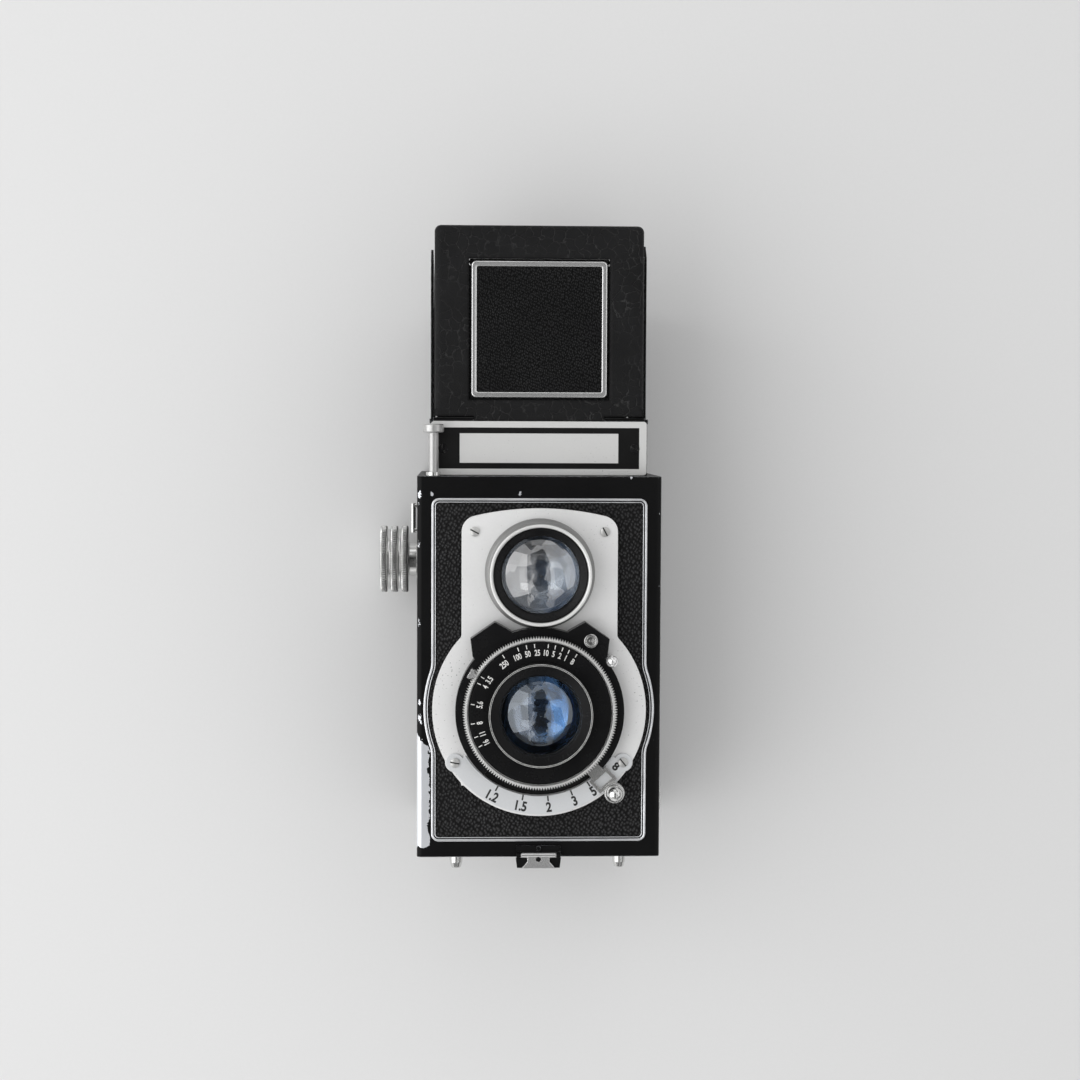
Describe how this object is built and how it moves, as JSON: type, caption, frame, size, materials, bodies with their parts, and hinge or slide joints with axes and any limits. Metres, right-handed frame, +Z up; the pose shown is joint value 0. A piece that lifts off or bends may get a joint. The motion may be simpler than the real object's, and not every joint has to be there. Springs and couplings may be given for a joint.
{
  "type": "twin lens reflex camera",
  "caption": "Twin lens reflex roll film camera with a folding finder hood, unit focusing lens board, rim-set leaf shutter and a hinged back.",
  "frame": {"origin": "on the axis of the tripod bush, level with the underside of the base tray", "axes": "+Z up, towards the hood; -Y the way the lenses look; +X to the right seen from the front"},
  "size_m": [0.091, 0.0911, 0.199],
  "materials": {
    "black_paint": "semi-gloss",
    "leather": "pebbled",
    "chrome": "polished",
    "satin_aluminium": "satin",
    "black_enamel": "gloss",
    "steel": "brushed",
    "brass": "machined",
    "lens_glass": "coated",
    "ground_glass": "matt",
    "silver": "mirror"
  },
  "bodies": {
    "camera_body": {"body_shell": "black_paint", "front_leather": "leather", "front_trim": "chrome", "side_leather": "leather", "hood_base": "black_paint", "name_plate": "satin_aluminium", "name_plate_screws": "black_enamel", "focusing_screen": "ground_glass", "mirror": "silver", "mirror_cradle": "black_enamel", "light_tunnel": "black_enamel", "helicoid_mount": "brass", "release_bush": "chrome", "hood_pins": "steel", "door_hinge_pin": "steel", "latch_bracket": "black_paint", "strap_lugs": "chrome", "winding_bush": "chrome"},
    "lens_board": {"front_plate": "satin_aluminium", "plate_screws": "chrome", "focus_scale": "satin_aluminium", "viewing_barrel": "satin_aluminium", "viewing_ring": "black_enamel", "viewing_glass": "lens_glass", "shutter_housing": "black_enamel", "shutter_dial": "black_enamel", "flash_socket": "chrome", "taking_ring": "black_enamel", "taking_glass": "lens_glass", "helicoid_tube": "brass", "rear_glass": "lens_glass", "shutter_blades": "black_enamel"},
    "focus": {"focus_lever": "chrome", "focus_knob": "chrome"},
    "speed": {"speed_ring": "chrome"},
    "aperture": {"aperture_lever": "chrome"},
    "cocking": {"cocking_lever": "chrome"},
    "release": {"release_button": "chrome"},
    "advance": {"winding_knob": "chrome", "winding_shaft": "steel", "take_up_spool": "black_enamel"},
    "supply": {"supply_spool": "black_enamel"},
    "upper_pull": {"take_up_pin": "chrome"},
    "lower_pull": {"supply_pin": "chrome"},
    "low_roller": {"lower_roller": "steel"},
    "high_roller": {"upper_roller": "steel"},
    "lid": {"hood_lid": "black_paint"},
    "finder": {"finder_flap": "black_paint", "finder_frame": "chrome"},
    "magnifier": {"magnifier_arm": "black_enamel", "magnifier_lens": "lens_glass"},
    "flap_left": {"left_flap": "black_paint"},
    "flap_right": {"right_flap": "black_paint"},
    "flap_rear": {"rear_flap": "black_paint"},
    "door": {"back_door": "black_paint", "back_leather": "leather", "feet": "chrome", "tripod_bush": "chrome"},
    "pressure": {"pressure_plate": "black_enamel"},
    "latch": {"latch_lever": "chrome"}
  },
  "joints": [
    {"name": "focus_slide", "type": "slide", "parent": "camera_body", "child": "lens_board", "axis": [0, -1, 0], "range_m": [0, 0.005]},
    {"name": "focus_turn", "type": "hinge", "parent": "lens_board", "child": "focus", "pos_m": [0, -0.0401, 0.046], "axis": [0, 1, 0], "range_deg": [0, 78]},
    {"name": "speed_turn", "type": "hinge", "parent": "lens_board", "child": "speed", "pos_m": [0, -0.046, 0.046], "axis": [0, 1, 0], "range_deg": [0, 66]},
    {"name": "aperture_turn", "type": "hinge", "parent": "lens_board", "child": "aperture", "pos_m": [0, -0.0455, 0.046], "axis": [0, -1, 0], "range_deg": [0, 58]},
    {"name": "cocking_turn", "type": "hinge", "parent": "lens_board", "child": "cocking", "pos_m": [0, -0.041, 0.046], "axis": [0, 1, 0], "range_deg": [0, 30]},
    {"name": "release_press", "type": "slide", "parent": "camera_body", "child": "release", "axis": [0, 0, -1], "range_m": [0, 0.004], "stiffness_N_per_m": 400, "springref_m": -0.002},
    {"name": "winding_turn", "type": "hinge", "parent": "camera_body", "child": "advance", "pos_m": [0, 0.0195, 0.0885], "axis": [-1, 0, 0], "continuous": true},
    {"name": "supply_turn", "type": "hinge", "parent": "camera_body", "child": "supply", "pos_m": [0, -0.017, 0.0156], "axis": [-1, 0, 0], "continuous": true},
    {"name": "upper_pull_out", "type": "slide", "parent": "camera_body", "child": "upper_pull", "axis": [1, 0, 0], "range_m": [0, 0.006], "stiffness_N_per_m": 400, "springref_m": -0.002},
    {"name": "lower_pull_out", "type": "slide", "parent": "camera_body", "child": "lower_pull", "axis": [1, 0, 0], "range_m": [0, 0.006], "stiffness_N_per_m": 400, "springref_m": -0.002},
    {"name": "low_roller_turn", "type": "hinge", "parent": "camera_body", "child": "low_roller", "pos_m": [0, 0.0293, 0.0156], "axis": [1, 0, 0], "continuous": true},
    {"name": "high_roller_turn", "type": "hinge", "parent": "camera_body", "child": "high_roller", "pos_m": [0, 0.0293, 0.0764], "axis": [1, 0, 0], "continuous": true},
    {"name": "lid_fold", "type": "hinge", "parent": "camera_body", "child": "lid", "pos_m": [0, -0.0284, 0.1343], "axis": [-1, 0, 0], "range_deg": [0, 90]},
    {"name": "finder_open", "type": "hinge", "parent": "lid", "child": "finder", "pos_m": [0, -0.0279, 0.18335], "axis": [-1, 0, 0], "range_deg": [-90, 0]},
    {"name": "magnifier_open", "type": "hinge", "parent": "finder", "child": "magnifier", "pos_m": [0, -0.0274, 0.17895], "axis": [-1, 0, 0], "range_deg": [-90, 0]},
    {"name": "left_flap_fold", "type": "hinge", "parent": "camera_body", "child": "flap_left", "pos_m": [-0.0324, 0, 0.1255], "axis": [0, 1, 0], "range_deg": [0, 90], "stiffness_Nm_per_rad": 0.03, "springref_deg": -17.19},
    {"name": "right_flap_fold", "type": "hinge", "parent": "camera_body", "child": "flap_right", "pos_m": [0.0324, 0, 0.127], "axis": [0, -1, 0], "range_deg": [0, 90], "stiffness_Nm_per_rad": 0.03, "springref_deg": -17.19},
    {"name": "rear_flap_fold", "type": "hinge", "parent": "camera_body", "child": "flap_rear", "pos_m": [0, 0.0335, 0.1285], "axis": [1, 0, 0], "range_deg": [0, 90], "stiffness_Nm_per_rad": 0.03, "springref_deg": -17.19},
    {"name": "door_swing", "type": "hinge", "parent": "camera_body", "child": "door", "pos_m": [0, 0.0352, 0.1157], "axis": [1, 0, 0], "range_deg": [0, 105]},
    {"name": "pressure_press", "type": "slide", "parent": "door", "child": "pressure", "axis": [0, 1, 0], "range_m": [0, 0.0008], "stiffness_N_per_m": 800, "springref_m": -0.001},
    {"name": "latch_swing", "type": "hinge", "parent": "camera_body", "child": "latch", "pos_m": [0, -0.0384, 0.0008], "axis": [-1, 0, 0], "range_deg": [0, 80]}
  ],
  "couplings": [
    {"joint": "focus_turn", "follows": "focus_slide", "rad_per_m": 272.27}
  ]
}
